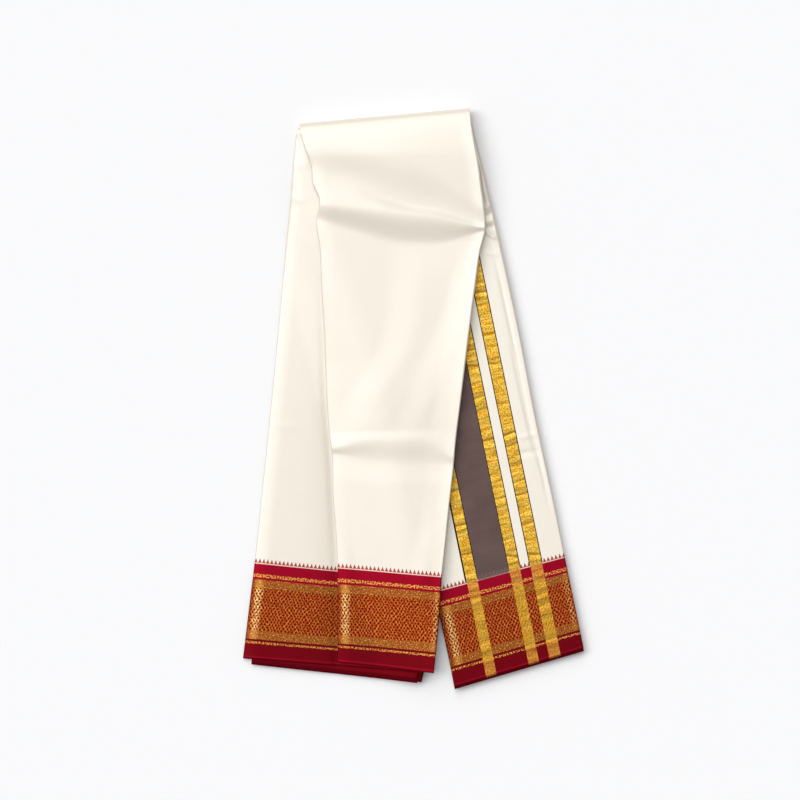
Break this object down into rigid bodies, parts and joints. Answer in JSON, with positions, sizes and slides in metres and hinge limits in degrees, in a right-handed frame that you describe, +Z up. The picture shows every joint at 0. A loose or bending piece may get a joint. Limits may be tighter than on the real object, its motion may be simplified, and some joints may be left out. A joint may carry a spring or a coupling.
{
  "type": "folded silk dhoti",
  "caption": "Ivory silk dhoti folded into a flat strip and once more at the top; crimson and gold borders at both hems, striped end piece showing at one side.",
  "frame": {"origin": "on the resting plane, below the middle of the folded cloth's outline", "axes": "+X to the right and +Y towards the top fold as seen from above, +Z up from the resting plane"},
  "size_m": [0.3906, 0.6622, 0.0227],
  "materials": {
    "ivory_silk": "satin silk weave",
    "crimson_border": "silk with gold zari weave",
    "hidden_silk": "silk, layered"
  },
  "bodies": {
    "root": {"front_panel": "ivory_silk", "front_border": "crimson_border", "left_panel": "ivory_silk", "left_border": "crimson_border", "pallu_panel": "ivory_silk", "pallu_border": "crimson_border", "back_sheet": "ivory_silk", "outer_layers": "hidden_silk", "inner_layers": "hidden_silk"}
  },
  "joints": []
}
